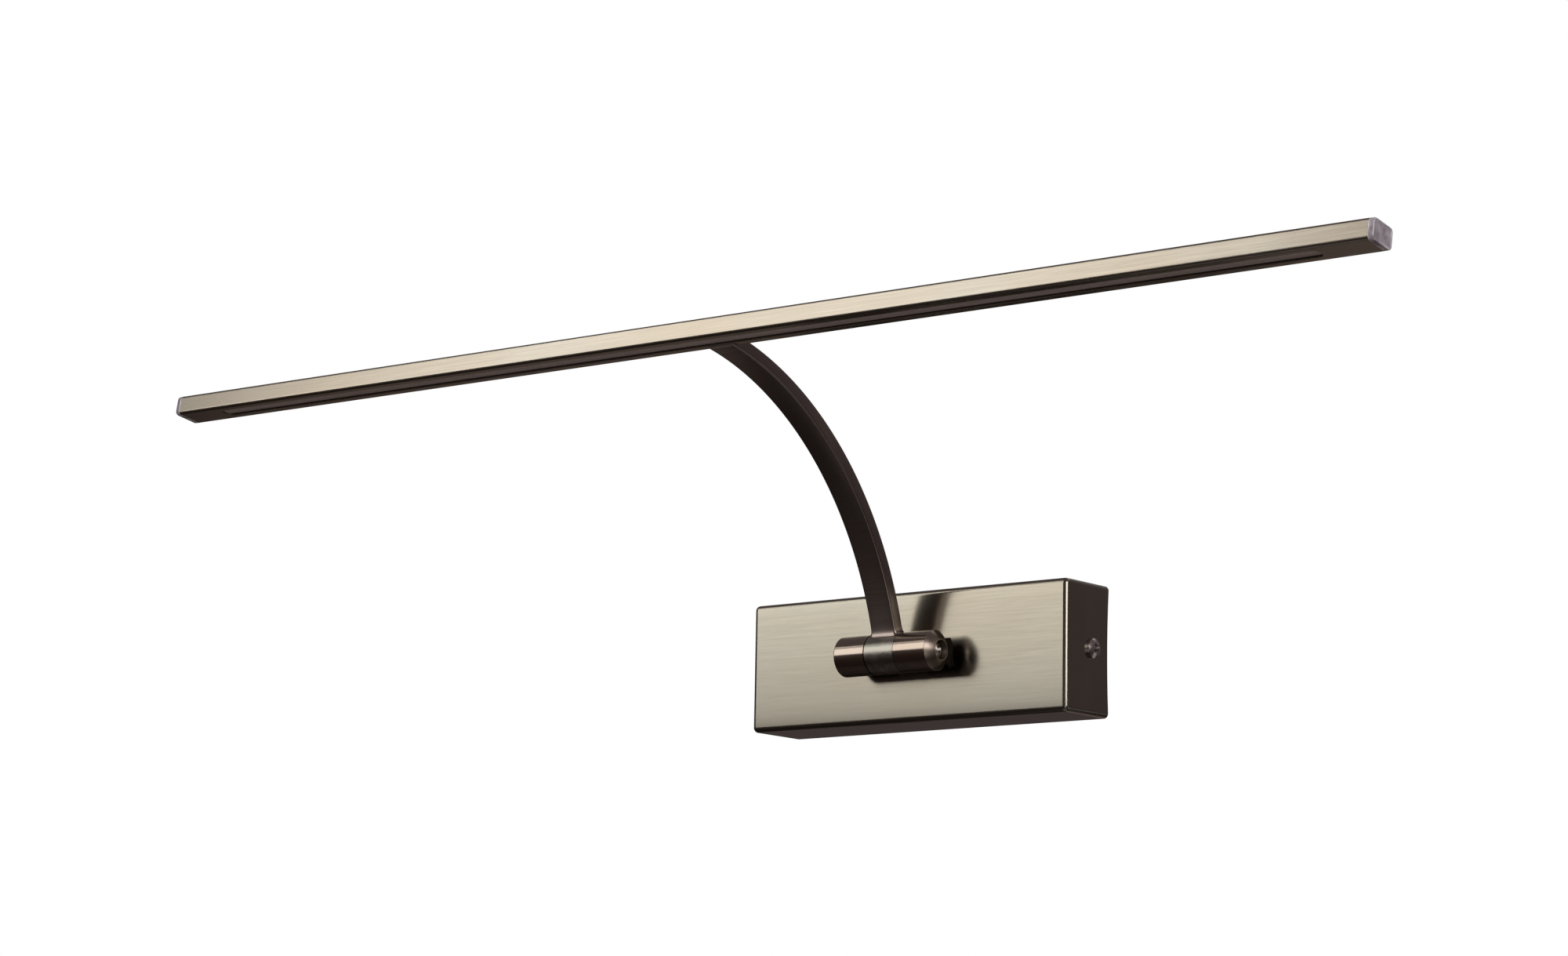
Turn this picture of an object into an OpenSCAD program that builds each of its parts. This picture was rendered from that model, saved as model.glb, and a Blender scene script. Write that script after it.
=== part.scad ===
// Wall-mounted picture light: a shallow wall box, a friction knuckle, a curved arm and a slim light bar.
// Millimetres. The origin is the centre of the box's back on the wall.
// X runs along the bar, +Y goes into the wall and +Z is up.

/* [Wall box] */
// Width of the box cover
box_w = 150; // [140:1:180]
// Height of the box cover
box_h = 50.6; // [48:0.2:70]
// Depth of the box cover
box_d = 28; // [27:0.5:40]
// Sheet thickness of the box cover
box_sheet = 1.2; // [0.8:0.1:1.6]
// Outer radius of the cover's bent edges
box_edge = 2; // [1.8:0.1:3]
// Distance between the two wall screw slots
slot_spacing = 90; // [80:1:96]

/* [Knuckle] */
// Distance of the pivot from the wall
pivot_out = 38; // [37:0.5:42]
// Outer diameter of the knuckle barrels
barrel_d = 15.6; // [15:0.2:17]
// Length of the centre barrel, which turns with the arm
centre_len = 13.5; // [13:0.1:15]
// Length of each outer barrel up to its domed end
outer_len = 14.6; // [14:0.1:17]
// Gap left of the centre barrel
left_gap = 0.5; // [0.4:0.05:0.7]
// Gap right of the centre barrel
right_gap = 0.2; // [0.15:0.05:0.4]

/* [Arm] */
// Mean radius of the arm's arc
arm_r = 133.5; // [130:0.5:138]
// Height of the arc's centre below the pivot
arm_drop = 27.5; // [24:0.5:30]
// Width of the arm along the bar
arm_w = 11.5; // [10:0.1:12.4]
// Thickness of the arm
arm_t = 5.2; // [4.8:0.1:6]

/* [Light bar] */
// Length of the bar's metal tube
bar_len = 552.8; // [400:0.1:700]
// Depth of the bar, front to back
bar_w = 12.3; // [11:0.1:14]
// Height of the bar
bar_h = 7.8; // [7.4:0.1:9]
// Tilt of the bar, front edge up
bar_tilt = 9.85; // [6:0.05:14]
// Length of the light slot
slot_len = 512; // [360:1:520]
// Width of the light slot
slot_w = 6; // [5:0.1:7]
// Number of light-emitting diodes
led_count = 32; // [12:1:34]

/* [Hidden] */
$fn = 64;
eps = 0.01;

bronze = [0.36, 0.31, 0.25];
pale_bronze = [0.72, 0.68, 0.60];
pink_bronze = [0.50, 0.42, 0.37];
steel = [0.62, 0.62, 0.62];

// Wall box and bracket
front_y = -box_d;
inner_w = box_w - 2 * box_sheet;
inner_front_y = front_y + box_sheet;
plate_t = 1.5;
plate_h = 42;
tab_gap = 0.05;
tab_x = inner_w / 2 - tab_gap;
tab_depth = 19;
tab_h = 18;
side_screw_y = -11;
side_hollow = 0.9;
side_hollow_r = (box_h * box_h / 4 + side_hollow * side_hollow) / (2 * side_hollow);
entry_r = 10;
wall_slot_len = 12;
wall_slot_r = 2.5;

// Screw sizes: M4 throughout, with threads as plain cylinders
m4_r = 2.0;
m4_thread_r = 2.02;
m4_clear_r = 2.2;

// Knuckle, with X measured from the middle of the bar
barrel_r = barrel_d / 2;
centre_x = centre_len / 2;
left_face_x = -centre_x - left_gap;
right_face_x = centre_x + right_gap;
crease_x = centre_x + outer_len + 0.35;
dome_len = 2.6;
dome_base_r = barrel_r - 0.12;
dome_tip_r = 4.2;
dome_back = (dome_base_r * dome_base_r - dome_tip_r * dome_tip_r - dome_len * dome_len) / (2 * dome_len);
dome_r = sqrt(dome_back * dome_back + dome_base_r * dome_base_r);
tip_x = crease_x + dome_len;
flat_end_x = 21.45;
flat_end_edge = 0.5;
head_pocket_r = 3.85;
head_pocket_depth = 3.7;
neck_h = 11.8;
neck_inset = 0.4;
waist_r = 2.4;
waist_h = 8.8;
neck_screw_x = 18.2;
neck_screw_tip_y = -34.2;
wire_hole_x = -10.5;
wire_hole_r = 1.9;
race_in_r = 5.2;
race_out_r = 6.6;
race_r = (race_in_r + race_out_r) / 2;
race_left_x = -13;
race_right_x = 3.5;
race_left_end = -centre_x;
sleeve_r = 3.5;
bush_in_r = 3.55;
bush_out_r = 4.5;
wire_d = 1.1;
wire_gap = 0.75;

// Arm arc, as Y and Z of its centre
arm_cy = -pivot_out - sqrt(arm_r * arm_r - arm_drop * arm_drop);
arm_cz = -arm_drop;
arm_start = asin(arm_drop / arm_r);
arm_end = 81;
arm_edge = 0.7;
duct_w = arm_w - 2.2;
duct_t = arm_t - 2.0;
collar = 0.6;
collar_h = 0.9;

// Light bar: its own frame starts at the middle of its lower front edge
bar_y = -153.6;
bar_z = 103.6;
bar_wall = 0.8;
bar_edge = 1.2;
cap_t = 2.2;
cap_plug = 4;
lip_w = (bar_w - slot_w) / 2;
tongue = 2.7;
tape_t = 0.2;
board_t = 1.0;
board_w = 8;
board_len = bar_len - 22;
chip_h = 0.7;
board_top_z = bar_h - bar_wall - tape_t;
diffuser_t = 1.4;
bar_hole_w = 9;
bar_hole_z = 1.8;
bar_hole_h = 1.5;

// ---------------------------------------------------------------- shared shapes

// Cylinder along X from x0 to x1
module rod_x(r, x0, x1) {
    translate([x0, 0, 0]) rotate([0, 90, 0]) cylinder(r = r, h = x1 - x0);
}

// The same, with enough sides for a radius of several hundred millimetres
module rod_x_smooth(r, x0, x1) {
    translate([x0, 0, 0]) rotate([0, 90, 0]) cylinder(r = r, h = x1 - x0, $fn = 720);
}

// Cylinder along Y from y0 to y1
module rod_y(r, y0, y1) {
    translate([0, y0, 0]) rotate([-90, 0, 0]) cylinder(r = r, h = y1 - y0);
}

// Ring along X
module ring_x(r_out, r_in, x0, x1) {
    difference() {
        rod_x(r_out, x0, x1);
        rod_x(r_in, x0 - 1, x1 + 1);
    }
}

// Moves children to the pivot axis
module at_pivot() {
    translate([0, -pivot_out, 0]) children();
}

// Moves children into the bar's own frame: X along it, Y front to back, Z up
module at_bar() {
    translate([0, bar_y, bar_z]) rotate([-bar_tilt, 0, 0]) children();
}

// Box from the wall forwards, with its front edges and its four long corners rounded
module soft_box(w, h, d, r) {
    x = w / 2 - r;
    z = h / 2 - r;
    translate([-x, -d, -z]) cube([2 * x, d, 2 * z]);
    translate([-w / 2, -d + r, -z]) cube([w, d - r, 2 * z]);
    translate([-x, -d + r, -h / 2]) cube([2 * x, d - r, h]);
    for (sz = [-1, 1]) translate([0, -d + r, sz * z]) rod_x(r, -x, x);
    for (sx = [-1, 1]) translate([sx * x, -d + r, -z]) cylinder(r = r, h = 2 * z);
    for (sx = [-1, 1]) for (sz = [-1, 1]) {
        translate([sx * x, 0, sz * z]) rod_y(r, -d + r, 0);
        translate([sx * x, -d + r, sz * z]) sphere(r = r);
    }
}

// Rounded rectangle, centred
module soft_rect(w, h, r) {
    square([w - 2 * r, h], center = true);
    square([w, h - 2 * r], center = true);
    for (sx = [-1, 1]) for (sy = [-1, 1])
        translate([sx * (w / 2 - r), sy * (h / 2 - r)]) circle(r = r);
}

// Cross recess, cut down from z = 0
module cross_recess(size, depth) {
    for (a = [0, 90]) rotate([90, 0, a])
        translate([0, 0, -size * 0.12]) linear_extrude(size * 0.24)
            polygon([[-size / 2, eps], [size / 2, eps], [size * 0.2, -depth], [-size * 0.2, -depth]]);
}

// Pan-head screw: its head rises from z = 0 and its shank goes down
module pan_screw(r_head, h_head, r_shank, length) {
    dome = r_head * 1.6;
    difference() {
        intersection() {
            cylinder(r = r_head, h = h_head);
            translate([0, 0, h_head - dome]) sphere(r = dome);
        }
        translate([0, 0, h_head]) cross_recess(r_head * 1.15, h_head * 0.7);
    }
    translate([0, 0, -length]) cylinder(r = r_shank, h = length);
}

// Unit vector of the run from a to b
function unit(a, b) = (b - a) / norm(b - a);

// A route with each corner replaced by an arc-like curve that starts r before the corner
function eased(p, r) = [
    for (i = [0 : len(p) - 1])
        if (i == 0 || i == len(p) - 1) p[i]
        else each [for (t = [0 : 0.25 : 1])
            (1 - t) * (1 - t) * (p[i] - r * unit(p[i - 1], p[i]))
                + 2 * t * (1 - t) * p[i]
                + t * t * (p[i] + r * unit(p[i], p[i + 1]))]
];

// Direction of a route at its point i
function heading(p, i) =
    i == 0 ? unit(p[0], p[1])
    : i == len(p) - 1 ? unit(p[i - 1], p[i])
    : unit([0, 0, 0], unit(p[i - 1], p[i]) + unit(p[i], p[i + 1]));

// Insulated wire along a route, as one closed tube, with corners eased over r if r is above 0
module wire(route, d, r = 1.5) {
    p = r > 0 ? eased(route, r) : route;
    sides = 8;
    up = [0.31, 0.13, 0.94];
    rings = [for (i = [0 : len(p) - 1])
        let (h = heading(p, i), u = unit([0, 0, 0], cross(h, up)), v = cross(h, u))
        for (k = [0 : sides - 1]) p[i] + d / 2 * (cos(360 * k / sides) * u + sin(360 * k / sides) * v)];
    last = sides * (len(p) - 1);
    polyhedron(rings, concat(
        [[for (k = [0 : sides - 1]) k]],
        [for (i = [0 : len(p) - 2]) for (k = [0 : sides - 1]) for (half = [0, 1])
            let (a = i * sides, b = a + sides, n = (k + 1) % sides)
            half == 0 ? [a + k, b + k, b + n] : [a + k, b + n, a + n]],
        [[for (k = [sides - 1 : -1 : 0]) last + k]]));
}

// ---------------------------------------------------------------- wall box

module wall_bracket() color("silver") {
    difference() {
        union() {
            translate([-tab_x, -plate_t, -plate_h / 2]) cube([2 * tab_x, plate_t, plate_h]);
            for (s = [-1, 1]) {
                translate([s * (tab_x - plate_t / 2) - plate_t / 2, -tab_depth, -tab_h / 2])
                    cube([plate_t, tab_depth, tab_h]);
                translate([0, side_screw_y, 0])
                    rod_x(3.4, min(s * tab_x, s * (tab_x - 3.4)), max(s * tab_x, s * (tab_x - 3.4)));
            }
        }
        rod_y(entry_r, -plate_t - 1, 1);
        for (s = [-1, 1]) {
            translate([s * slot_spacing / 2, 0, 0]) wall_slot();
            translate([0, side_screw_y, 0])
                rod_x(m4_thread_r, min(s * 60, s * 80), max(s * 60, s * 80));
        }
        translate([earth_x, 0, earth_z]) rod_y(m4_thread_r, -plate_t - 1, 1);
        translate([terminal_x, 0, terminal_z]) rod_y(1.52, -plate_t - 1, 1);
    }
}

module wall_slot() {
    run = wall_slot_len / 2 - wall_slot_r;
    translate([-run, -plate_t - 1, -wall_slot_r]) cube([2 * run, plate_t + 2, 2 * wall_slot_r]);
    for (s = [-1, 1]) translate([s * run, 0, 0]) rod_y(wall_slot_r, -plate_t - 1, 1);
}

module box_cover() color(pale_bronze) {
    difference() {
        soft_box(box_w, box_h, box_d, box_edge);
        translate([0, eps, 0])
            soft_box(inner_w, box_h - 2 * box_sheet, box_d - box_sheet + eps, box_edge - box_sheet);
        translate([0, side_screw_y, 0]) rod_x(m4_clear_r, -box_w, box_w);
        for (s = [-1, 1]) side_relief(s);
        for (s = [-1, 1])
            translate([s * neck_screw_x, 0, 0]) rod_y(m4_clear_r, front_y - 1, inner_front_y + 1);
        translate([wire_hole_x, 0, 0]) rod_y(bush_hole_r, front_y - 1, inner_front_y + 1);
    }
}

// Shallow hollow in the back edge of one side wall, so that the cover's corners meet the wall first
module side_relief(s) {
    x = (box_w - box_sheet) / 2;
    translate([s * x, side_hollow_r - side_hollow, 0])
        rod_x_smooth(side_hollow_r, -box_sheet / 2 - 0.3, box_sheet / 2 + 0.3);
}

module cover_screws() color(pink_bronze) {
    for (s = [-1, 1])
        translate([s * box_w / 2, side_screw_y, 0]) rotate([0, s * 90, 0]) rotate([0, 0, 38])
            pan_screw(3.9, 2.4, m4_r, 7);
}

// Rubber ring in the bracket's cable hole
module cable_grommet() color([0.08, 0.08, 0.08]) {
    difference() {
        union() {
            rod_y(entry_r - 0.02, -plate_t, -0.2);
            rod_y(entry_r + 1.8, -plate_t - 1.6, -plate_t);
        }
        rod_y(4, -plate_t - 3, 1);
    }
}

// ---------------------------------------------------------------- mains terminals

terminal_x = -26;
terminal_z = 12.5;
terminal_w = 25;
terminal_h = 15;
terminal_d = 13;
pole_pitch = 8;
earth_x = -60;
earth_z = -12;

module terminal_block() color([0.92, 0.92, 0.88]) {
    translate([terminal_x, -plate_t, terminal_z]) difference() {
        union() {
            translate([-terminal_w / 2, -4, -terminal_h / 2]) cube([terminal_w, 4, terminal_h]);
            for (i = [-1, 1]) translate([i * pole_pitch - 3.4, -terminal_d, -terminal_h / 2])
                cube([6.8, terminal_d, terminal_h]);
        }
        for (i = [-1, 1]) translate([i * pole_pitch, -6, 0]) {
            translate([0, 0, -terminal_h]) cylinder(r = 1.6, h = 2 * terminal_h);
            for (z = [-4, 4]) translate([0, 0, z]) rod_y(1.9, -terminal_d, -1);
        }
        rod_y(1.7, -terminal_d, 1);
    }
}

// The four clamp screws of the terminal block
module terminal_screws() color([0.80, 0.68, 0.35]) {
    for (i = [-1, 1]) for (z = [-4, 4])
        translate([terminal_x + i * pole_pitch, -plate_t - 11.5, terminal_z + z]) difference() {
            rod_y(1.85, 0, 3.6);
            translate([-2, -1, -0.3]) cube([4, 1.7, 0.6]);
        }
}

module terminal_fixing_screw() color(steel) {
    translate([terminal_x, -plate_t - 4, terminal_z]) rotate([90, 0, 0])
        pan_screw(2.7, 1.8, 1.5, 5.5);
}

module earth_screw() color([0.80, 0.68, 0.35]) {
    translate([earth_x, -plate_t - 0.8, earth_z]) rotate([90, 0, 0]) pan_screw(3.7, 2.4, m4_r, 2.3);
}

module earth_washer() color(steel) {
    translate([earth_x, 0, earth_z]) difference() {
        rod_y(4.4, -plate_t - 0.8, -plate_t);
        rod_y(2.1, -plate_t - 2, 1);
    }
}

// ---------------------------------------------------------------- driver

driver_x = 45;
driver_w = 44;
driver_h = 30;
driver_d = 17;
driver_wall = 1.2;
driver_front_y = inner_front_y + 0.8;
driver_back_y = driver_front_y + driver_d;

module driver_tape() color([0.2, 0.2, 0.2]) {
    translate([driver_x - 18, inner_front_y, -12]) cube([36, 0.8, 24]);
}

module driver_case() color([0.93, 0.93, 0.91]) {
    translate([driver_x, 0, 0]) difference() {
        translate([-driver_w / 2, driver_front_y, -driver_h / 2])
            cube([driver_w, driver_d - driver_wall, driver_h]);
        translate([-driver_w / 2 + driver_wall, driver_front_y + driver_wall, -driver_h / 2 + driver_wall])
            cube([driver_w - 2 * driver_wall, driver_d, driver_h - 2 * driver_wall]);
        for (z = [lamp_lead_z, mains_lead_z]) for (s = [-1, 1])
            translate([0, driver_lead_y, z + s * lead_spread])
                rod_x(0.85, -driver_w / 2 - 1, -driver_w / 2 + driver_wall + 1);
    }
}

module driver_lid() color([0.88, 0.88, 0.86]) {
    inset = driver_wall + 0.1;
    translate([driver_x - driver_w / 2, driver_back_y - driver_wall, -driver_h / 2])
        cube([driver_w, driver_wall, driver_h]);
    translate([driver_x - driver_w / 2 + inset, driver_back_y - driver_wall - 1.2, driver_h / 2 - inset - 1])
        cube([driver_w - 2 * inset, 1.2, 1]);
    translate([driver_x - driver_w / 2 + inset, driver_back_y - driver_wall - 1.2, -driver_h / 2 + inset])
        cube([driver_w - 2 * inset, 1.2, 1]);
}

board_y = driver_front_y + driver_wall + 1.5;

module driver_board() color([0.10, 0.35, 0.18]) {
    translate([driver_x - 19.5, board_y, -12.5]) cube([39, 1.2, 25]);
}

module driver_transformer() color([0.75, 0.62, 0.20]) {
    translate([driver_x - 1, board_y + 1.2, -8]) {
        cube([13, 2, 15]);
        translate([1.5, 2, 1.5]) cube([10, 6, 12]);
    }
}

module driver_capacitor() color([0.15, 0.15, 0.18]) {
    translate([driver_x + 15.8, board_y + 1.2, 0]) rod_y(3.2, 0, 8.5);
}

// ---------------------------------------------------------------- wiring

lead_spread = 1.1;
lamp_lead_z = 8;
mains_lead_z = -9;
driver_lead_y = driver_front_y + 8;
lead_x = driver_x - driver_w / 2 + 2.5;
bush_hole_r = 2.9;
bush_lip_r = 3.5;

// Line and neutral from the terminal block to the driver
module mains_leads() color([0.45, 0.25, 0.12]) {
    for (i = [-1, 1]) {
        z = mains_lead_z + i * lead_spread;
        x = terminal_x - i * pole_pitch;
        wire([[x, -plate_t - 6, terminal_z - 3], [x, -plate_t - 6, z],
            [x + 5, driver_lead_y, z], [lead_x, driver_lead_y, z]], 1.4);
    }
}

// Low-voltage pair from the driver, through the left knuckle, to the edge of the centre barrel
module lamp_leads() color([0.8, 0.1, 0.1]) {
    for (i = [-1, 1]) {
        z = i * wire_gap;
        y = -pivot_out + sqrt(race_r * race_r - wire_gap * wire_gap);
        x = wire_hole_x;
        wire([[lead_x, driver_lead_y, lamp_lead_z + i * lead_spread],
            [x + 8, driver_lead_y, lamp_lead_z + i * lead_spread],
            [x, driver_lead_y + 1, z], [x, y, z], [left_face_x, y, z]], wire_d);
    }
}

// Plastic bush that keeps the pair off the cover's edge
module lead_bush() color([0.1, 0.1, 0.1]) {
    translate([wire_hole_x, 0, 0]) difference() {
        union() {
            rod_y(bush_hole_r - 0.02, front_y, inner_front_y);
            rod_y(bush_lip_r, inner_front_y, inner_front_y + 0.8);
        }
        rod_y(1.6, front_y - 1, inner_front_y + 2);
    }
}

// ---------------------------------------------------------------- knuckle

// Barrel from x0 out to its domed tip, on the right-hand side
module domed_barrel(x0) {
    rotate([0, 90, 0]) rotate_extrude() {
        translate([0, x0]) square([barrel_r, crease_x - x0]);
        intersection() {
            translate([0, crease_x - dome_back]) circle(r = dome_r, $fn = 96);
            translate([0, crease_x - 1]) square([dome_base_r, dome_len + 1]);
        }
    }
}

// Barrel from x0 out to its flat end, on the right-hand side
module flat_barrel(x0) {
    straight = flat_end_x - flat_end_edge;
    rotate([0, 90, 0]) rotate_extrude() {
        translate([0, x0]) square([barrel_r, straight - x0]);
        translate([0, straight - eps]) square([barrel_r - flat_end_edge, flat_end_edge + eps]);
        translate([barrel_r - flat_end_edge, straight]) circle(r = flat_end_edge, $fn = 48);
    }
}

// Waisted neck that joins an outer barrel to the cover, from x0 to x1
module neck(x0, x1) {
    reach = pivot_out - box_d;
    translate([x0, 0, 0]) rotate([90, 0, 90]) linear_extrude(x1 - x0) difference() {
        translate([0, -neck_h / 2]) square([reach, neck_h]);
        for (s = [-1, 1]) translate([reach - waist_r, s * (waist_h / 2 + waist_r)]) circle(r = waist_r);
    }
}

module knuckle_right() color(pink_bronze) {
    at_pivot() difference() {
        union() {
            domed_barrel(right_face_x);
            neck(right_face_x + neck_inset, crease_x - neck_inset);
        }
        rod_x(m4_clear_r, right_face_x - 1, tip_x + 1);
        rod_x(head_pocket_r, tip_x - head_pocket_depth, tip_x + 1);
        translate([neck_screw_x, pivot_out, 0]) rod_y(m4_thread_r, neck_screw_tip_y - 0.4, front_y + 1);
    }
}

module knuckle_left() color(pink_bronze) {
    at_pivot() difference() {
        union() {
            mirror([1, 0, 0]) flat_barrel(-left_face_x);
            neck(-crease_x + neck_inset, left_face_x - neck_inset);
        }
        rod_x(m4_thread_r, -19.5, left_face_x + 1);
        ring_x(race_out_r, race_in_r, race_left_x, left_face_x + 1);
        translate([wire_hole_x, pivot_out, 0]) rod_y(wire_hole_r, -pivot_out + race_in_r + 0.1, front_y + 1);
        translate([-neck_screw_x, pivot_out, 0]) rod_y(m4_thread_r, neck_screw_tip_y - 0.4, front_y + 1);
    }
}

// The two screws that hold the outer barrels to the cover, from inside the box
module knuckle_screws() color(steel) {
    for (s = [-1, 1]) translate([s * neck_screw_x, inner_front_y + 0.9, 0]) rotate([-90, 0, 0])
        pan_screw(3.6, 2.3, m4_r, inner_front_y + 0.9 - neck_screw_tip_y);
}

module knuckle_washers() color(steel) {
    for (s = [-1, 1]) translate([s * neck_screw_x, 0, 0]) difference() {
        rod_y(3.9, inner_front_y, inner_front_y + 0.9);
        rod_y(2.1, inner_front_y - 1, inner_front_y + 2);
    }
}

module pivot_sleeve() color(steel) {
    at_pivot() ring_x(sleeve_r, 2.1, left_face_x, right_face_x);
}

module pivot_screw() color(steel) {
    seat = tip_x - head_pocket_depth;
    at_pivot() translate([seat, 0, 0]) rotate([0, 90, 0]) rotate([0, 0, 20])
        pan_screw(3.55, 2.5, m4_r, seat + 18);
}

// Nylon washer that fills most of the left gap
module friction_washer_left() color([0.05, 0.05, 0.05]) {
    at_pivot() ring_x(4.9, sleeve_r + 0.1, left_face_x + 0.02, -centre_x - 0.02);
}

module friction_washer_right() color(steel) {
    at_pivot() ring_x(7.1, sleeve_r + 0.1, centre_x + 0.02, right_face_x - 0.02);
}

module centre_barrel() color(bronze) {
    at_pivot() difference() {
        rod_x(barrel_r, -centre_x, centre_x);
        rod_x(bush_out_r, -centre_x - 1, centre_x + 1);
        ring_x(race_out_r, race_in_r, -centre_x - 1, race_right_x);
        rotate([arm_start, 0, 0]) translate([-duct_w / 2, -duct_t / 2, race_r])
            cube([duct_w / 2 + race_right_x, duct_t, barrel_r]);
    }
}

module pivot_bush() color([0.80, 0.68, 0.35]) {
    at_pivot() ring_x(bush_out_r, bush_in_r, -centre_x, centre_x);
}

// ---------------------------------------------------------------- arm

// Sweeps a profile, drawn as [distance from the arc's centre, X], along the arm
module arm_sweep(a0, a1) {
    translate([0, arm_cy, arm_cz]) rotate([a0, 0, 0]) rotate([90, 0, 90])
        rotate_extrude(angle = a1 - a0, $fn = 180) children();
}

// Space taken by the bar, seen from the arm
module bar_space() {
    at_bar() {
        translate([-20, -20, 0]) cube([40, 20 + bar_w, 30]);
        translate([-20, -20, -20]) cube([40, 20 + bar_w - tongue, 40]);
    }
}

module arm() color(bronze) {
    difference() {
        union() {
            arm_sweep(arm_start, arm_end) translate([arm_r, 0]) soft_rect(arm_t, arm_w, arm_edge);
            at_pivot() rotate([arm_start, 0, 0]) translate([0, 0, barrel_r - 1.5])
                linear_extrude(1.5 + collar_h) soft_rect(arm_w + 2 * collar, arm_t + 2 * collar, arm_edge);
        }
        arm_sweep(arm_start - 1, arm_end + 1) translate([arm_r, 0]) square([duct_t, duct_w], center = true);
        at_pivot() rod_x(barrel_r, -20, 20);
        bar_space();
    }
}

// Point on the arm's centre line, at angle a about its arc
function arm_point(a, x) = [x, arm_cy + arm_r * cos(a), arm_cz + arm_r * sin(a)];

// Point given in the bar's own frame
function bar_point(x, y, z) = [
    x,
    bar_y + y * cos(bar_tilt) + z * sin(bar_tilt),
    bar_z - y * sin(bar_tilt) + z * cos(bar_tilt)];

// Low-voltage pair: round the centre barrel's race, up the arm and onto the board in the bar
module arm_leads() color([0.8, 0.1, 0.1]) {
    for (i = [-1, 1]) {
        x = race_left_end + 3.4 - i * wire_gap;
        lean = i * asin(wire_gap / race_r);
        hole_z = bar_hole_z + bar_hole_h / 2;
        turn = [for (a = [lean : 16 : 90]) [x, -pivot_out + race_r * cos(a), race_r * sin(a)]];
        climb = [for (a = [arm_start + 4 : 5.8 : 75]) arm_point(a, x)];
        end = [bar_point(x, bar_w + 0.3, hole_z), bar_point(x, bar_w - 1.3, hole_z),
            bar_point(x, bar_w - 2.6, board_top_z - board_t - wire_d / 2)];
        wire(concat([[race_left_end, turn[0][1], turn[0][2]]], turn, climb, end), wire_d, 0);
    }
}

// ---------------------------------------------------------------- light bar

// Section of the bar, with its lower front corner at the origin
module bar_section(inset, r) {
    translate([bar_w / 2, bar_h / 2]) soft_rect(bar_w - 2 * inset, bar_h - 2 * inset, r);
}

// Extrudes a section drawn as [depth, height] along the bar
module along_bar(x0, x1) {
    translate([x0, 0, 0]) rotate([90, 0, 90]) linear_extrude(x1 - x0) children();
}

module light_bar() color(pale_bronze) {
    at_bar() difference() {
        along_bar(-bar_len / 2, bar_len / 2) bar_section(0, bar_edge);
        along_bar(-bar_len / 2 - 1, bar_len / 2 + 1) bar_section(bar_wall, bar_edge - bar_wall);
        light_slot();
        translate([-bar_hole_w / 2, bar_w - 2, bar_hole_z]) cube([bar_hole_w, 3, bar_hole_h]);
    }
}

// Milled slot with round ends
module light_slot() {
    run = (slot_len - slot_w) / 2;
    depth = 1 + bar_wall + eps;
    translate([-run, lip_w, -1]) cube([2 * run, slot_w, depth]);
    for (s = [-1, 1]) translate([s * run, lip_w + slot_w / 2, -1]) cylinder(r = slot_w / 2, h = depth);
}

module thermal_tape() color([0.85, 0.85, 0.85]) {
    at_bar() translate([-board_len / 2, (bar_w - board_w) / 2, board_top_z])
        cube([board_len, board_w, tape_t]);
}

module led_board() color([0.95, 0.95, 0.95]) {
    at_bar() translate([-board_len / 2, (bar_w - board_w) / 2, board_top_z - board_t])
        cube([board_len, board_w, board_t]);
}

module led_chips() color([0.98, 0.85, 0.35]) {
    pitch = slot_len / led_count;
    at_bar() for (i = [0 : led_count - 1])
        translate([(i - (led_count - 1) / 2) * pitch - 1.75, bar_w / 2 - 1.4, board_top_z - board_t - chip_h])
            cube([3.5, 2.8, chip_h]);
}

module diffuser() color([0.80, 0.78, 0.74]) {
    at_bar() translate([-bar_len / 2 + cap_plug + 0.5, bar_edge + 0.05, bar_wall])
        cube([bar_len - 2 * cap_plug - 1, bar_w - 2 * bar_edge - 0.7, diffuser_t]);
}

// Clear end cap on the right, with its plug in the tube
module end_cap() {
    at_bar() {
        along_bar(bar_len / 2, bar_len / 2 + cap_t) bar_section(0, bar_edge);
        along_bar(bar_len / 2 - cap_plug, bar_len / 2) bar_section(bar_wall + 0.02, 0.38);
    }
}

module end_cap_right() color([0.78, 0.76, 0.78]) end_cap();

module end_cap_left() color([0.78, 0.76, 0.78]) mirror([1, 0, 0]) end_cap();

wall_bracket();
box_cover();
cover_screws();
cable_grommet();
terminal_block();
terminal_screws();
terminal_fixing_screw();
earth_screw();
earth_washer();
driver_tape();
driver_case();
driver_lid();
driver_board();
driver_transformer();
driver_capacitor();
mains_leads();
lamp_leads();
lead_bush();
knuckle_left();
knuckle_right();
knuckle_screws();
knuckle_washers();
pivot_sleeve();
pivot_screw();
friction_washer_left();
friction_washer_right();
centre_barrel();
pivot_bush();
arm();
arm_leads();
light_bar();
thermal_tape();
led_board();
led_chips();
diffuser();
end_cap_left();
end_cap_right();
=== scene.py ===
"""Looks of a wall-mounted picture light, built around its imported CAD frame. Metres throughout."""
import math

import bmesh
import bpy
from mathutils import Matrix, Vector


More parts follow.
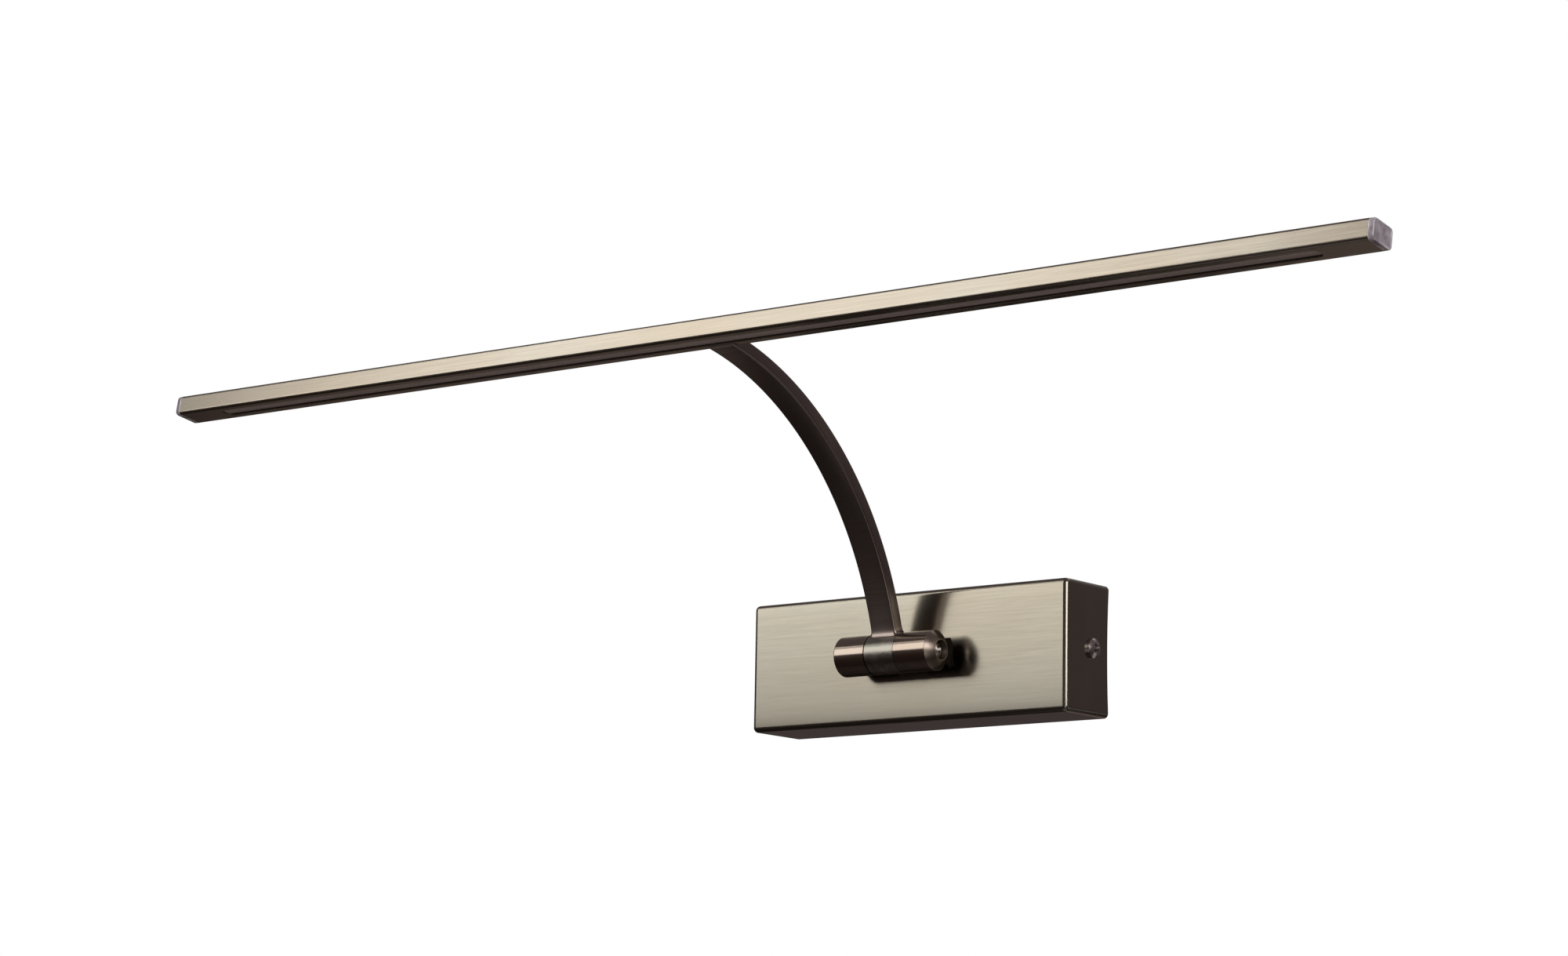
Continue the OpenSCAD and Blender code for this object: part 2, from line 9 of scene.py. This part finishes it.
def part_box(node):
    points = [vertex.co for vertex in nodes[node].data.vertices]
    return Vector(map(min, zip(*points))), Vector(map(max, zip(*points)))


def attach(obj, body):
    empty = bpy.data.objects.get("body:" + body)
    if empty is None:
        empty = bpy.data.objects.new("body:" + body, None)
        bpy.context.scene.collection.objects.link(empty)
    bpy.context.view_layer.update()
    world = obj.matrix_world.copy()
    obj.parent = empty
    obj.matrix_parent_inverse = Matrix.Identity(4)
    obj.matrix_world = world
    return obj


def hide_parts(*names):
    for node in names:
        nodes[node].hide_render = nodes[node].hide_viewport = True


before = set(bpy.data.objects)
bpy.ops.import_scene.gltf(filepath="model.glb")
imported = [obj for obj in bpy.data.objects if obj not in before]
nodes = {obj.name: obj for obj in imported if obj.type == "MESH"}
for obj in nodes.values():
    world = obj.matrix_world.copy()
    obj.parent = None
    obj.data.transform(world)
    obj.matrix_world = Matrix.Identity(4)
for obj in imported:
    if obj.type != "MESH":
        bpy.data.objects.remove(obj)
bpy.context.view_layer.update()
scene = bpy.context.scene
MM = 0.001


# ------------------------------------------------------------------ camera and stage

CAMERA_PLACE = (0.9179, -1.2686, -0.2023)
CAMERA_HEADING, CAMERA_PITCH, CAMERA_ROLL = (math.radians(a) for a in (38.279, 9.974, 1.059))
CAMERA_LENS, CAMERA_SENSOR = 92.7, 36    # millimetres

FLOOR_HALF, FLOOR_Z = 1.4, -2.3
FLOOR_COLOUR = (0.60, 0.59, 0.58, 1)
FLOOR_ROUGHNESS = 0.8

# Height of the way looked, from 0 straight down to 1 straight up, and what the room shows there
ROOM = ((0.0, (0.010, 0.008, 0.008, 1)), (0.36, (0.055, 0.039, 0.034, 1)),
        (0.44, (0.095, 0.075, 0.074, 1)), (0.58, (0.14, 0.115, 0.12, 1)),
        (0.75, (0.17, 0.145, 0.15, 1)), (1.0, (0.20, 0.17, 0.17, 1)))

PANEL_TARGET = Vector((0, -0.05, 0.03))    # what every panel is aimed at

# Panels: azimuth and elevation in degrees, distance, size, strength, colour
WHITE, WARM = (1.0, 1.0, 1.0), (1.0, 0.80, 0.72)
PANELS = {
    "key": (-38.5, 22.6, 2.0, (0.94, 1.29), 3.15, (1.0, 1.0, 0.97)),
    "fill": (56, 17, 2.4, (1.4, 1.1), 6.0, WHITE),
    "back": (180, 50, 2.0, (1.6, 0.8), 1.2, WHITE),
    "front_low": (42, -20, 2.2, (1.3, 0.9), 1.0, WHITE),
    "rear_low": (193, -25, 2.2, (1.3, 0.65), 0.26, WARM),
    "rear_left": (230, -26, 2.2, (0.62, 0.58), 0.13, WARM),
    "rear_side": (132, -26, 2.2, (1.1, 0.8), 0.5, WHITE),
}


def make_camera():
    """Camera below and to the right of the light, looking up at it through a long lens."""
    data = bpy.data.cameras.new("camera")
    data.lens = CAMERA_LENS
    data.sensor_width = CAMERA_SENSOR
    data.clip_end = 50
    camera = bpy.data.objects.new("camera", data)
    scene.collection.objects.link(camera)
    turn = (Matrix.Rotation(CAMERA_HEADING, 4, "Z")
            @ Matrix.Rotation(math.pi / 2 + CAMERA_PITCH, 4, "X")
            @ Matrix.Rotation(CAMERA_ROLL, 4, "Z"))
    camera.matrix_world = Matrix.Translation(CAMERA_PLACE) @ turn
    scene.camera = camera


def softbox(name, azimuth, elevation, distance, size, strength, colour):
    """Soft panel aimed at the light, with its radiance as strength.

    azimuth is from straight in front, positive to the right."""
    a, e = math.radians(azimuth), math.radians(elevation)
    way = Vector((math.sin(a) * math.cos(e), -math.cos(a) * math.cos(e), math.sin(e)))
    data = bpy.data.lights.new(name, "AREA")
    data.shape = "RECTANGLE"
    data.size, data.size_y = size
    data.energy = strength * math.pi * size[0] * size[1]
    data.color = colour
    panel = bpy.data.objects.new(name, data)
    scene.collection.objects.link(panel)
    panel.location = PANEL_TARGET + distance * way
    panel.rotation_euler = way.to_track_quat("Z", "Y").to_euler()
    panel.visible_camera = False


def make_world():
    """Dim studio for the metal to reflect, darker below than overhead; plain white behind."""
    world = bpy.data.worlds.new("studio")
    scene.world = world
    world.use_nodes = True
    tree = world.node_tree
    tree.nodes.clear()
    out = tree.nodes.new("ShaderNodeOutputWorld")
    mix = tree.nodes.new("ShaderNodeMixShader")
    path = tree.nodes.new("ShaderNodeLightPath")
    room = tree.nodes.new("ShaderNodeBackground")
    white = tree.nodes.new("ShaderNodeBackground")
    coord = tree.nodes.new("ShaderNodeTexCoord")
    split = tree.nodes.new("ShaderNodeSeparateXYZ")
    shift = tree.nodes.new("ShaderNodeMapRange")
    ramp = tree.nodes.new("ShaderNodeValToRGB")
    shift.inputs["From Min"].default_value = -1
    shift.inputs["From Max"].default_value = 1
    stops = ramp.color_ramp.elements
    stops[0].position, stops[0].color = ROOM[0]
    stops[1].position, stops[1].color = ROOM[-1]
    for position, colour in ROOM[1:-1]:
        stop = stops.new(position)
        stop.color = colour
    white.inputs["Color"].default_value = (1, 1, 1, 1)
    tree.links.new(coord.outputs["Generated"], split.inputs[0])
    tree.links.new(split.outputs["Z"], shift.inputs["Value"])
    tree.links.new(shift.outputs["Result"], ramp.inputs["Fac"])
    tree.links.new(ramp.outputs["Color"], room.inputs["Color"])
    tree.links.new(path.outputs["Is Camera Ray"], mix.inputs[0])
    tree.links.new(room.outputs[0], mix.inputs[1])
    tree.links.new(white.outputs[0], mix.inputs[2])
    tree.links.new(mix.outputs[0], out.inputs[0])


def make_floor():
    """Pale floor far below, for light to bounce from."""
    mesh = bpy.data.meshes.new("floor")
    corners = ((-1, -1), (1, -1), (1, 1), (-1, 1))
    mesh.from_pydata([(x * FLOOR_HALF, y * FLOOR_HALF, FLOOR_Z) for x, y in corners],
                     [], [(0, 1, 2, 3)])
    floor = bpy.data.objects.new("floor", mesh)
    scene.collection.objects.link(floor)
    mat = bpy.data.materials.new("pale_floor")
    mat.use_nodes = True
    shader = mat.node_tree.nodes["Principled BSDF"]
    shader.inputs["Base Color"].default_value = FLOOR_COLOUR
    shader.inputs["Roughness"].default_value = FLOOR_ROUGHNESS
    mesh.materials.append(mat)


make_camera()
make_world()
make_floor()
for panel_name, panel_values in PANELS.items():
    softbox(panel_name, *panel_values)

# ------------------------------------------------------------------ materials


def middle(node):
    """Centre of a CAD node's box."""
    low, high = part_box(node)
    return (low + high) / 2


class Material:
    """A procedural material under construction: a shader with a few shared node helpers."""

    def __init__(self, name):
        self.data = bpy.data.materials.new(name)
        self.data.use_nodes = True
        self.tree = self.data.node_tree
        self.shader = self.tree.nodes["Principled BSDF"]

    def node(self, kind, **values):
        made = self.tree.nodes.new(kind)
        for key, value in values.items():
            setattr(made, key, value)
        return made

    def link(self, a, b):
        self.tree.links.new(a, b)

    def put(self, **values):
        """Sets constant shader sockets, named with underscores for spaces."""
        for key, value in values.items():
            self.shader.inputs[key.replace("_", " ")].default_value = value
        return self

    def place(self, scale):
        """Object coordinates scaled per axis, in units per metre."""
        coord = self.node("ShaderNodeTexCoord")
        stretch = self.node("ShaderNodeMapping")
        stretch.inputs["Scale"].default_value = scale
        self.link(coord.outputs["Object"], stretch.inputs["Vector"])
        return stretch.outputs[0]

    def noise(self, where, detail=3.0, roughness=0.6):
        """Noise whose size is set by where, as given by place()."""
        made = self.node("ShaderNodeTexNoise")
        made.inputs["Scale"].default_value = 1.0
        made.inputs["Detail"].default_value = detail
        made.inputs["Roughness"].default_value = roughness
        self.link(where, made.inputs["Vector"])
        return made.outputs["Fac"]

    def spread(self, value, low, high, to_low=0.0, to_high=1.0):
        """Maps low..high onto to_low..to_high, clamped. Noise lies mostly from 0.35 to 0.65."""
        made = self.node("ShaderNodeMapRange")
        made.inputs["From Min"].default_value = low
        made.inputs["From Max"].default_value = high
        made.inputs["To Min"].default_value = to_low
        made.inputs["To Max"].default_value = to_high
        self.link(value, made.inputs["Value"])
        return made.outputs["Result"]

    def math(self, kind, a, b):
        """One operation on two values, each a number or a socket."""
        made = self.node("ShaderNodeMath", operation=kind)
        for socket, value in zip(made.inputs, (a, b)):
            if isinstance(value, (int, float)):
                socket.default_value = value
            else:
                self.link(value, socket)
        return made.outputs[0]

    def mix(self, factor, a, b):
        """Blends two colours, each a tuple or a socket."""
        made = self.node("ShaderNodeMix", data_type="RGBA")
        self.link(factor, made.inputs[0])
        for socket, value in zip((made.inputs[6], made.inputs[7]), (a, b)):
            if isinstance(value, tuple):
                socket.default_value = (*value, 1)
            else:
                self.link(value, socket)
        return made.outputs[2]

    def multiply(self, factor, colour, tint):
        """Darkens a colour by a tint, as far as factor says."""
        made = self.node("ShaderNodeMix", data_type="RGBA", blend_type="MULTIPLY")
        self.link(factor, made.inputs[0])
        self.link(colour, made.inputs[6])
        made.inputs[7].default_value = (*tint, 1)
        return made.outputs[2]

    def axis(self, name):
        """One object coordinate, in metres."""
        coord = self.node("ShaderNodeTexCoord")
        split = self.node("ShaderNodeSeparateXYZ")
        self.link(coord.outputs["Object"], split.inputs[0])
        return split.outputs[name]

    def bump(self, height, distance):
        """Relief in the surface: height 1 stands distance metres high."""
        made = self.node("ShaderNodeBump")
        made.inputs["Distance"].default_value = distance
        self.link(height, made.inputs["Height"])
        self.link(made.outputs[0], self.shader.inputs["Normal"])


# How far the crowned face falls away: over its whole height, and close to its top and bottom
CROWN_BULGE, CROWN_ROLL = 0.14 * MM, 0.12 * MM
CROWN_BULGE_POWER, CROWN_ROLL_POWER = 2, 10

# Brush lines, in cycles per metre across and along them, and how the highlight spreads
FINE_LINES, BROAD_LINES = (3000, 45), (1300, 25)
FINE_SHARE, BROAD_SHARE = 0.65, 0.35
ANISOTROPY = 0.6

# Broad patches where the plating turns browner
PATCHES, PATCH_TINT = (12, 22, 22), (0.972, 0.93, 0.888)

# What sets in past a line on a surface, and how far it takes to set in: painted shade darkening the
# knuckle's necks towards the wall, extra roughness, and a painted shadow line along the diffuser's
# back edge
PAINTED_NECK_SHADE_TINT, PAINTED_NECK_SHADE_FADE = (0.04, 0.034, 0.032), 2 * MM
SATIN_EXTRA, SATIN_FADE = 0.17, 0.4 * MM
PAINTED_SHADOW_LINE_FADE = 0.2 * MM


def scaled(colour, k):
    return tuple(c * k for c in colour)


def brushed_metal(name, colour, rough, lines=1.1e-6, contrast=0.045, around=False,
                  crown=0.0, painted_shade_from=None, satin_from=None):
    """Plated metal with fine brush lines along X, or turned lines around X.

    The highlight spreads across the lines. crown is half the height of a face that bulges a
    little and falls away at its top and bottom. painted_shade_from is the depth, along Y, behind
    which the plating is darkened with painted shade. satin_from is the distance either way along
    X past which it is rougher."""
    def grain(across, along):
        return (across, along, along) if around else (along, across, across)

    m = Material(name)
    fine = m.noise(m.place(grain(*FINE_LINES)), 4.0, 0.7)
    broad = m.noise(m.place(grain(*BROAD_LINES)), 3.0, 0.6)
    patch = m.noise(m.place(PATCHES), 2.0, 0.5)
    streak = m.math("ADD", m.math("MULTIPLY", fine, FINE_SHARE),
                    m.math("MULTIPLY", broad, BROAD_SHARE))
    base = m.mix(m.spread(streak, 0.36, 0.64), scaled(colour, 1 - contrast),
                 scaled(colour, 1 + contrast))
    base = m.multiply(m.spread(patch, 0.35, 0.65), base, PATCH_TINT)
    height = m.math("MULTIPLY", streak, lines)
    # Painted shade: the plating is darkened to near black behind the given depth, towards the wall
    if painted_shade_from is not None:
        depth = m.spread(m.axis("Y"), painted_shade_from, painted_shade_from + PAINTED_NECK_SHADE_FADE)
        base = m.multiply(depth, base, PAINTED_NECK_SHADE_TINT)
    if crown:
        t = m.math("ABSOLUTE", m.math("DIVIDE", m.axis("Z"), crown), 0)
        bulge = m.math("MULTIPLY", m.math("POWER", t, CROWN_BULGE_POWER), CROWN_BULGE)
        roll = m.math("MULTIPLY", m.math("POWER", t, CROWN_ROLL_POWER), CROWN_ROLL)
        height = m.math("SUBTRACT", height, m.math("ADD", bulge, roll))
    roughness = m.spread(streak, 0.35, 0.65, rough[1], rough[0])
    if satin_from is not None:
        out = m.spread(m.math("ABSOLUTE", m.axis("X"), 0), satin_from, satin_from + SATIN_FADE)
        roughness = m.math("ADD", roughness, m.math("MULTIPLY", out, SATIN_EXTRA))
    m.link(base, m.shader.inputs["Base Color"])
    m.link(roughness, m.shader.inputs["Roughness"])
    tangent = m.node("ShaderNodeTangent", direction_type="RADIAL", axis="X")
    m.link(tangent.outputs[0], m.shader.inputs["Tangent"])
    m.put(Metallic=1.0, Anisotropic=ANISOTROPY, Anisotropic_Rotation=0.25 if around else 0.0)
    m.bump(height, 1.0)
    return m.data


def cast_metal(name, colour, rough=(0.24, 0.36), depth=5e-5):
    """Plated metal with the soft dimples and blotches of a brazed and hand-finished part."""
    m = Material(name)
    dimple = m.noise(m.place((420, 420, 420)), 3.0, 0.55)
    blotch = m.noise(m.place((150, 260, 260)), 3.0, 0.6)
    base = m.mix(m.spread(blotch, 0.35, 0.65), scaled(colour, 0.84), scaled(colour, 1.12))
    m.link(base, m.shader.inputs["Base Color"])
    m.link(m.spread(blotch, 0.3, 0.7, rough[0], rough[1]), m.shader.inputs["Roughness"])
    m.put(Metallic=1.0)
    m.bump(dimple, depth)
    return m.data


def opal_strip(name, painted_shadow_from):
    """Frosted diffuser, greyed by the board behind it, with a painted shadow line along its back
    edge.
    """
    m = Material(name)
    cloud = m.noise(m.place((40, 500, 500)), 3.0)
    face = m.mix(m.spread(cloud, 0.3, 0.7), (0.44, 0.36, 0.33), (0.54, 0.45, 0.42))
    # Painted shadow: near black along the diffuser's back edge, where the slot's back wall lies in
    # shade
    painted_shadow_line = m.spread(m.axis("Y"), painted_shadow_from, painted_shadow_from + PAINTED_SHADOW_LINE_FADE)
    m.link(m.mix(painted_shadow_line, face, (0.012, 0.010, 0.010)), m.shader.inputs["Base Color"])
    m.put(Roughness=0.34, IOR=1.49)
    m.bump(cloud, 1e-5)
    return m.data


def cap_acrylic(name, half_y, half_z, thick):
    """Cloudy clear plastic: its middle shows the dark tube behind, and its rim gathers light.

    The rim glows in two bands: the seam where the cap meets the tube, and the tip at its
    face, which is brighter towards the wall."""
    m = Material(name)
    y = m.math("DIVIDE", m.math("ABSOLUTE", m.axis("Y"), 0), half_y)
    z = m.math("DIVIDE", m.math("ABSOLUTE", m.axis("Z"), 0), half_z)
    cloud = m.noise(m.place((300, 260, 260)), 3.0)
    edge = m.math("ADD", m.math("MAXIMUM", y, z), m.math("MULTIPLY", cloud, 0.16))
    face = m.mix(m.spread(cloud, 0.34, 0.66), (0.25, 0.21, 0.24), (0.47, 0.43, 0.47))
    rim = m.mix(m.spread(cloud, 0.35, 0.65), (0.52, 0.48, 0.52), (0.86, 0.84, 0.86))
    along = m.math("DIVIDE", m.math("ABSOLUTE", m.axis("X"), 0), thick)
    seam = m.spread(along, 0.22, 0.06)
    tip = m.math("MULTIPLY", m.spread(along, 0.80, 0.92),
                 m.spread(m.axis("Y"), -0.4 * half_y, 0.8 * half_y, 0.22, 1.0))
    glow = m.math("MULTIPLY", m.spread(edge, 0.88, 1.02), m.math("MAXIMUM", seam, tip))
    base = m.mix(glow, face, rim)
    m.link(base, m.shader.inputs["Base Color"])
    m.put(Roughness=0.22, IOR=1.49, Coat_Weight=0.5, Coat_Roughness=0.08)
    m.bump(cloud, 4e-5)
    return m.data


def plain_finish(name, colour, second, rough, grain=900.0, metallic=0.0, depth=1e-5):
    """A moulded, sleeved or plated finish: slight colour drift and a fine surface grain."""
    m = Material(name)
    drift = m.noise(m.place((60, 60, 60)), 3.0)
    fine = m.noise(m.place((grain, grain, grain)), 2.0)
    m.link(m.mix(m.spread(drift, 0.3, 0.7), colour, second), m.shader.inputs["Base Color"])
    m.link(m.spread(fine, 0.3, 0.7, rough - 0.05, rough + 0.07), m.shader.inputs["Roughness"])
    m.put(Metallic=metallic)
    m.bump(fine, depth)
    return m.data


CAP_DEPTH, CAP_HIGH, CAP_THICK, CAP_CORNER = 12.5 * MM, 8.0 * MM, 2.2 * MM, 1.7 * MM
PAINTED_SHADOW_LINE_BACK = 2.5 * MM       # from the diffuser's middle to its painted shadow line, towards the wall

# Bronze plating on everything outside
cover_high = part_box("box_cover")[1].z
cover_metal = brushed_metal("cover_bronze", (0.228, 0.214, 0.180), (0.19, 0.23), crown=cover_high)
bar_metal = brushed_metal("bar_bronze", (0.268, 0.243, 0.204), (0.23, 0.28))
arm_metal = brushed_metal("arm_bronze", (0.225, 0.190, 0.176), (0.26, 0.38), contrast=0.18)
# The knuckle's necks towards the wall are darkened with painted shade
knuckle_metal = brushed_metal("knuckle_bronze", (0.266, 0.222, 0.190), (0.18, 0.21),
                              contrast=0.03, lines=0.8e-6, around=True,
                              painted_shade_from=-35 * MM, satin_from=21.4 * MM)
centre_metal = cast_metal("centre_bronze", (0.250, 0.234, 0.205))

# The light's plastics
# The diffuser carries a painted shadow line along its back edge
opal = opal_strip("opal_diffuser", middle("diffuser").y + PAINTED_SHADOW_LINE_BACK)
cap_plastic = cap_acrylic("cap_acrylic", CAP_DEPTH / 2, CAP_HIGH / 2, CAP_THICK)

# Fixings, wiring and what the box and the bar hold inside
zinc = plain_finish("zinc", (0.62, 0.62, 0.60), (0.52, 0.53, 0.55), 0.34, 1500, 1.0)
dark_screw = plain_finish("dark_screw", (0.46, 0.40, 0.39), (0.34, 0.30, 0.29), 0.24, 1500, 1.0)
bright_screw = plain_finish("bright_screw", (0.62, 0.57, 0.53), (0.50, 0.46, 0.43), 0.22,
                            1500, 1.0)
brass = plain_finish("contact_brass", (0.72, 0.55, 0.26), (0.62, 0.46, 0.22), 0.3, 1500, 1.0)
rubber = plain_finish("black_rubber", (0.02, 0.02, 0.02), (0.035, 0.035, 0.035), 0.6)
white_plastic = plain_finish("white_plastic", (0.80, 0.80, 0.77), (0.74, 0.74, 0.71), 0.45)
green_board = plain_finish("green_board", (0.02, 0.16, 0.06), (0.03, 0.20, 0.08), 0.35)
white_board = plain_finish("white_board", (0.82, 0.82, 0.80), (0.78, 0.78, 0.77), 0.4)
phosphor = plain_finish("phosphor", (0.90, 0.66, 0.12), (0.92, 0.72, 0.20), 0.35)
amber_tape = plain_finish("amber_tape", (0.60, 0.42, 0.06), (0.55, 0.38, 0.06), 0.3)
sleeve_black = plain_finish("sleeve_black", (0.02, 0.02, 0.03), (0.03, 0.03, 0.05), 0.25)
foam = plain_finish("grey_foam", (0.10, 0.10, 0.10), (0.14, 0.14, 0.14), 0.9, 2500, 0.0, 1e-4)
brown_wire = plain_finish("brown_wire", (0.16, 0.06, 0.025), (0.20, 0.08, 0.03), 0.4)
red_wire = plain_finish("red_wire", (0.42, 0.03, 0.02), (0.48, 0.04, 0.03), 0.4)

FINISH = {
    "wall_bracket": zinc, "box_cover": cover_metal, "cover_screws": dark_screw,
    "cable_grommet": rubber, "terminal_block": white_plastic, "terminal_screws": brass,
    "terminal_fixing_screw": zinc, "earth_screw": brass, "earth_washer": zinc,
    "driver_tape": foam, "driver_case": white_plastic, "driver_lid": white_plastic,
    "driver_board": green_board, "driver_transformer": amber_tape,
    "driver_capacitor": sleeve_black, "mains_leads": brown_wire, "lamp_leads": red_wire,
    "lead_bush": rubber, "knuckle_left": knuckle_metal, "knuckle_right": knuckle_metal,
    "knuckle_screws": zinc, "knuckle_washers": zinc, "pivot_sleeve": zinc,
    "pivot_screw": bright_screw, "friction_washer_left": rubber, "friction_washer_right": zinc,
    "centre_barrel": centre_metal, "pivot_bush": brass, "arm": arm_metal,
    "arm_leads": red_wire, "light_bar": bar_metal, "thermal_tape": white_board,
    "led_board": white_board, "led_chips": phosphor, "diffuser": opal,
    "end_cap_left": cap_plastic, "end_cap_right": cap_plastic,
}
for name, finish in FINISH.items():
    nodes[name].data.materials.clear()
    nodes[name].data.materials.append(finish)

# ------------------------------------------------------------------ pieces made here

BAR_TILT = math.radians(-9.85)
SHARP_ANGLE = math.radians(38)

# The cap's skin from its plug out to its dished face: place along the bar and inset, in mm
CAP_PROFILE = ((-3.8, 1.35), (-0.05, 1.35), (-0.05, 0.35), (0.0, 0.12), (0.1, 0.0), (1.5, 0.0),
               (1.85, 0.06), (2.1, 0.22), (2.22, 0.5), (2.22, 0.85), (2.12, 1.0), (1.98, 1.15),
               (1.94, 1.6))
CAP_CORNER_LEAST = 0.35 * MM

# The arm is an arc whose centre is ARM_DROP below the pivot, and a rounded bar in section
ARM_ARC, ARM_DROP = 133.5 * MM, 27.5 * MM
ARM_WIDE, ARM_THICK, ARM_CORNER = 11.5 * MM, 5.2 * MM, 0.75 * MM
# Height above the centre barrel, and how much wider the arm is there on every side, in mm
ARM_FLARE = ((-0.8, 1.05), (0.0, 0.9), (0.2, 0.66), (0.5, 0.42), (0.9, 0.23), (1.5, 0.09),
             (2.3, 0.02), (3.4, 0.0), (5.0, 0.0), (7.0, 0.0))
ARM_FIT = 8 * MM           # up to here the stations follow the barrel's curve
ARM_STEP, ARM_STEPS = 1.5, 97    # the stations past there: mm between them, and how many
ARM_CUT = 3.45 * MM        # from the bar's middle to the arm's end, towards the wall
ARM_SIDE_GAP = 0.03 * MM   # the flare stops this far inside the centre barrel's end faces


def rounded_outline(width, height, radius, steps=8):
    """Points of a centred rounded rectangle, anticlockwise."""
    points = []
    for sx, sy, start in ((1, 1, 0), (-1, 1, 90), (-1, -1, 180), (1, -1, 270)):
        for i in range(steps + 1):
            a = math.radians(start + 90 * i / steps)
            points.append((sx * (width / 2 - radius) + radius * math.cos(a),
                           sy * (height / 2 - radius) + radius * math.sin(a)))
    return points


def skin(bm, rings):
    """Joins rings of equal length with quads and returns their rows of vertices."""
    rows = [[bm.verts.new(p) for p in ring] for ring in rings]
    for a, b in zip(rows, rows[1:]):
        for i in range(len(a)):
            j = (i + 1) % len(a)
            bm.faces.new((a[i], a[j], b[j], b[i]))
    return rows


def finish_mesh(name, bm, material, matrix=Matrix()):
    """Turns the bmesh into a smooth-shaded object that keeps its sharp edges."""
    bmesh.ops.recalc_face_normals(bm, faces=bm.faces)
    mesh = bpy.data.meshes.new(name)
    bm.to_mesh(mesh)
    bm.free()
    for polygon in mesh.polygons:
        polygon.use_smooth = True
    mesh.set_sharp_from_angle(angle=SHARP_ANGLE)
    mesh.materials.append(material)
    piece = bpy.data.objects.new(name, mesh)
    piece.matrix_world = matrix
    scene.collection.objects.link(piece)
    return piece


def make_end_cap(side):
    """Cloudy acrylic cap with a soft rim, a shallow dish in its face and a plug in the tube."""
    node = "end_cap_right" if side > 0 else "end_cap_left"
    centre = middle(node)
    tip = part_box(node)[1].x if side > 0 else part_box(node)[0].x
    rings = []
    for x, inset in CAP_PROFILE:
        inset *= MM
        outline = rounded_outline(CAP_DEPTH - 2 * inset, CAP_HIGH - 2 * inset,
                                  max(CAP_CORNER - inset, CAP_CORNER_LEAST))
        rings.append([(side * x * MM, y, z) for y, z in outline])
    bm = bmesh.new()
    rows = skin(bm, rings)
    bm.faces.new(rows[0][::-1])
    bm.faces.new(rows[-1])
    place = Matrix.Translation((tip - side * CAP_THICK, centre.y, centre.z))
    tilted = place @ Matrix.Rotation(BAR_TILT, 4, "X")
    cap = finish_mesh(node + "_acrylic", bm, cap_plastic, tilted)
    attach(cap, "head")
    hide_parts(node)


def make_arm():
    """Curved arm, flared where it is brazed to the centre barrel and cut off under the bar."""
    pivot = middle("pivot_sleeve")
    centre_y = pivot.y - math.sqrt(ARM_ARC ** 2 - ARM_DROP ** 2)
    centre_z = pivot.z - ARM_DROP
    barrel_low, barrel_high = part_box("centre_barrel")
    barrel = (barrel_high.z - barrel_low.z) / 2
    reach = barrel_high.x - ARM_SIDE_GAP
    fit_mm = ARM_FIT / MM
    stations = [*ARM_FLARE, *((fit_mm + ARM_STEP * i, 0.0) for i in range(ARM_STEPS))]
    rings = []
    for high, offset in stations:
        high, offset = high * MM, offset * MM
        fit = max(0.0, 1 - high / ARM_FIT)
        ring = []
        for x, v in rounded_outline(ARM_WIDE + 2 * offset, ARM_THICK + 2 * offset,
                                    ARM_CORNER + offset, 6):
            s = high + fit * math.sqrt(barrel ** 2 - v ** 2) + (1 - fit) * barrel
            a = math.asin(ARM_DROP / ARM_ARC) + s / ARM_ARC
            x = max(-reach, min(reach, x))
            ring.append((x, centre_y + (ARM_ARC + v) * math.cos(a),
                         centre_z + (ARM_ARC + v) * math.sin(a)))
        rings.append(ring)
    bm = bmesh.new()
    skin(bm, rings)
    back = Matrix.Rotation(BAR_TILT, 3, "X") @ Vector((0, 1, 0))
    cut = middle("light_bar") + back * ARM_CUT
    bmesh.ops.bisect_plane(bm, geom=bm.verts[:] + bm.edges[:] + bm.faces[:], plane_co=cut,
                           plane_no=back, clear_inner=True)
    bmesh.ops.edgeloop_fill(bm, edges=[e for e in bm.edges if e.is_boundary])
    arm = finish_mesh("arm_sweep", bm, arm_metal)
    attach(arm, "head")
    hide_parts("arm")


for side in (-1, 1):
    make_end_cap(side)
make_arm()

scene.view_settings.view_transform = "Standard"
